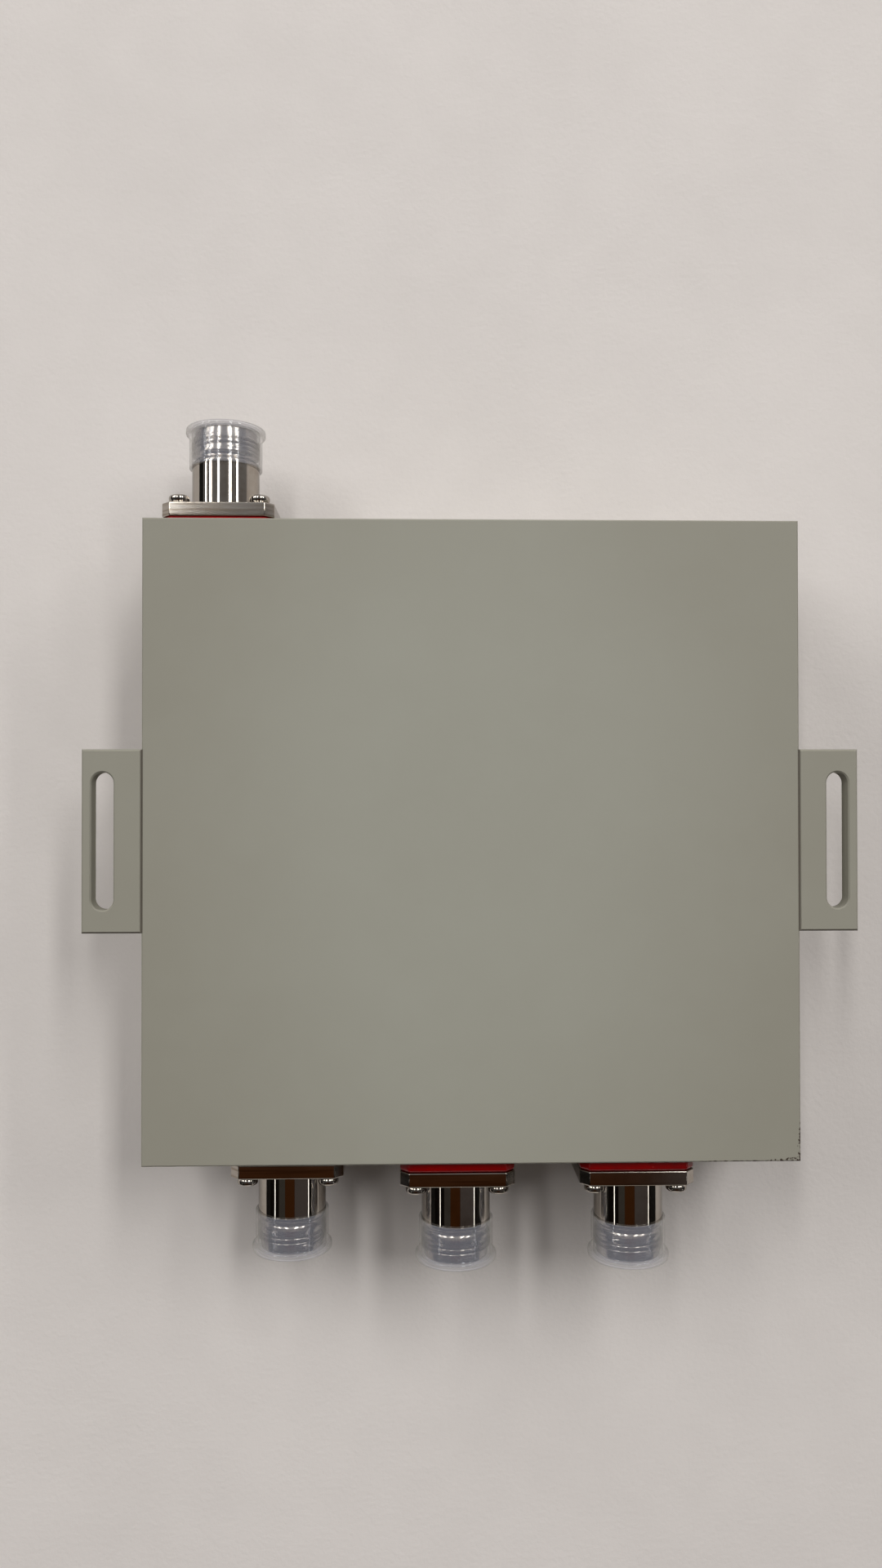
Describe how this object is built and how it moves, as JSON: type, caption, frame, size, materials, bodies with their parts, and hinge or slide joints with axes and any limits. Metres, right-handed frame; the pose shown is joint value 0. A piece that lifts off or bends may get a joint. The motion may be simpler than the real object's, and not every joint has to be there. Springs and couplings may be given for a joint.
{
  "type": "triplexer",
  "caption": "Flat milled cavity combiner with slotted side ears and flanged coaxial ports under push-on dust caps, for joining three radio bands on one antenna line.",
  "frame": {"origin": "centre of the part's box, on the outer face of the front cover", "axes": "+X along the slotted ears, +Y towards the shared port, +Z out of the plain back face"},
  "size_m": [0.17, 0.1924, 0.04],
  "materials": {
    "grey_paint": "satin",
    "bright_nickel": "polished",
    "red_silicone": "gloss",
    "clear_cap": "satin",
    "white_insulator": "matte",
    "gold_contact": "polished",
    "silver_plate": "satin",
    "silvered_brass": "satin",
    "plain_brass": "satin",
    "steel": "satin"
  },
  "bodies": {
    "combiner": {"housing": "grey_paint", "front_cover": "grey_paint", "left_bracket": "grey_paint", "right_bracket": "grey_paint", "cover_seal": "red_silicone", "tuning_lid": "silver_plate", "cover_screws": "steel", "lid_screws": "steel", "resonator_screws": "steel", "bracket_screws": "steel", "flange_screws": "bright_nickel", "lock_nuts": "plain_brass", "common_line": "silvered_brass", "low_resonator_1": "silvered_brass", "low_resonator_2": "silvered_brass", "low_resonator_3": "silvered_brass", "low_resonator_4": "silvered_brass", "low_tap_wire": "silvered_brass", "mid_resonator_1": "silvered_brass", "mid_resonator_2": "silvered_brass", "mid_resonator_3": "silvered_brass", "mid_resonator_4": "silvered_brass", "mid_tap_wire": "silvered_brass", "high_resonator_1": "silvered_brass", "high_resonator_2": "silvered_brass", "high_resonator_3": "silvered_brass", "high_resonator_4": "silvered_brass", "high_tap_wire": "silvered_brass", "common_connector_shell": "bright_nickel", "common_insulator": "white_insulator", "common_contact_pin": "gold_contact", "common_flange_gasket": "red_silicone", "low_connector_shell": "bright_nickel", "low_insulator": "white_insulator", "low_contact_pin": "gold_contact", "low_flange_gasket": "red_silicone", "mid_connector_shell": "bright_nickel", "mid_insulator": "white_insulator", "mid_contact_pin": "gold_contact", "mid_flange_gasket": "red_silicone", "high_connector_shell": "bright_nickel", "high_insulator": "white_insulator", "high_contact_pin": "gold_contact", "high_flange_gasket": "red_silicone"},
    "common_cap": {"common_dust_cap": "clear_cap"},
    "low_cap": {"low_dust_cap": "clear_cap"},
    "mid_cap": {"mid_dust_cap": "clear_cap"},
    "high_cap": {"high_dust_cap": "clear_cap"},
    "low_tuner_1": {"low_tuning_screw_1": "plain_brass"},
    "low_tuner_2": {"low_tuning_screw_2": "plain_brass"},
    "low_tuner_3": {"low_tuning_screw_3": "plain_brass"},
    "low_tuner_4": {"low_tuning_screw_4": "plain_brass"},
    "mid_tuner_1": {"mid_tuning_screw_1": "plain_brass"},
    "mid_tuner_2": {"mid_tuning_screw_2": "plain_brass"},
    "mid_tuner_3": {"mid_tuning_screw_3": "plain_brass"},
    "mid_tuner_4": {"mid_tuning_screw_4": "plain_brass"},
    "high_tuner_1": {"high_tuning_screw_1": "plain_brass"},
    "high_tuner_2": {"high_tuning_screw_2": "plain_brass"},
    "high_tuner_3": {"high_tuning_screw_3": "plain_brass"},
    "high_tuner_4": {"high_tuning_screw_4": "plain_brass"}
  },
  "joints": [
    {"name": "common_cap_pull", "type": "slide", "parent": "combiner", "child": "common_cap", "axis": [0, 1, 0], "range_m": [0, 0.025]},
    {"name": "low_cap_pull", "type": "slide", "parent": "combiner", "child": "low_cap", "axis": [0, -1, 0], "range_m": [0, 0.025]},
    {"name": "mid_cap_pull", "type": "slide", "parent": "combiner", "child": "mid_cap", "axis": [0, -1, 0], "range_m": [0, 0.025]},
    {"name": "high_cap_pull", "type": "slide", "parent": "combiner", "child": "high_cap", "axis": [0, -1, 0], "range_m": [0, 0.025]},
    {"name": "low_tuner_1_turn", "type": "hinge", "parent": "combiner", "child": "low_tuner_1", "pos_m": [-0.0415, -0.044, 0.008], "axis": [0, 0, 1], "range_deg": [-270, 270]},
    {"name": "low_tuner_2_turn", "type": "hinge", "parent": "combiner", "child": "low_tuner_2", "pos_m": [-0.0415, -0.02, 0.008], "axis": [0, 0, 1], "range_deg": [-270, 270]},
    {"name": "low_tuner_3_turn", "type": "hinge", "parent": "combiner", "child": "low_tuner_3", "pos_m": [-0.0415, 0.004, 0.008], "axis": [0, 0, 1], "range_deg": [-270, 270]},
    {"name": "low_tuner_4_turn", "type": "hinge", "parent": "combiner", "child": "low_tuner_4", "pos_m": [-0.0415, 0.028, 0.008], "axis": [0, 0, 1], "range_deg": [-270, 270]},
    {"name": "mid_tuner_1_turn", "type": "hinge", "parent": "combiner", "child": "mid_tuner_1", "pos_m": [-0.0033, -0.044, 0.008], "axis": [0, 0, 1], "range_deg": [-270, 270]},
    {"name": "mid_tuner_2_turn", "type": "hinge", "parent": "combiner", "child": "mid_tuner_2", "pos_m": [-0.0033, -0.02, 0.008], "axis": [0, 0, 1], "range_deg": [-270, 270]},
    {"name": "mid_tuner_3_turn", "type": "hinge", "parent": "combiner", "child": "mid_tuner_3", "pos_m": [-0.0033, 0.004, 0.008], "axis": [0, 0, 1], "range_deg": [-270, 270]},
    {"name": "mid_tuner_4_turn", "type": "hinge", "parent": "combiner", "child": "mid_tuner_4", "pos_m": [-0.0033, 0.028, 0.008], "axis": [0, 0, 1], "range_deg": [-270, 270]},
    {"name": "high_tuner_1_turn", "type": "hinge", "parent": "combiner", "child": "high_tuner_1", "pos_m": [0.0365, -0.044, 0.008], "axis": [0, 0, 1], "range_deg": [-270, 270]},
    {"name": "high_tuner_2_turn", "type": "hinge", "parent": "combiner", "child": "high_tuner_2", "pos_m": [0.0365, -0.02, 0.008], "axis": [0, 0, 1], "range_deg": [-270, 270]},
    {"name": "high_tuner_3_turn", "type": "hinge", "parent": "combiner", "child": "high_tuner_3", "pos_m": [0.0365, 0.004, 0.008], "axis": [0, 0, 1], "range_deg": [-270, 270]},
    {"name": "high_tuner_4_turn", "type": "hinge", "parent": "combiner", "child": "high_tuner_4", "pos_m": [0.0365, 0.028, 0.008], "axis": [0, 0, 1], "range_deg": [-270, 270]}
  ]
}
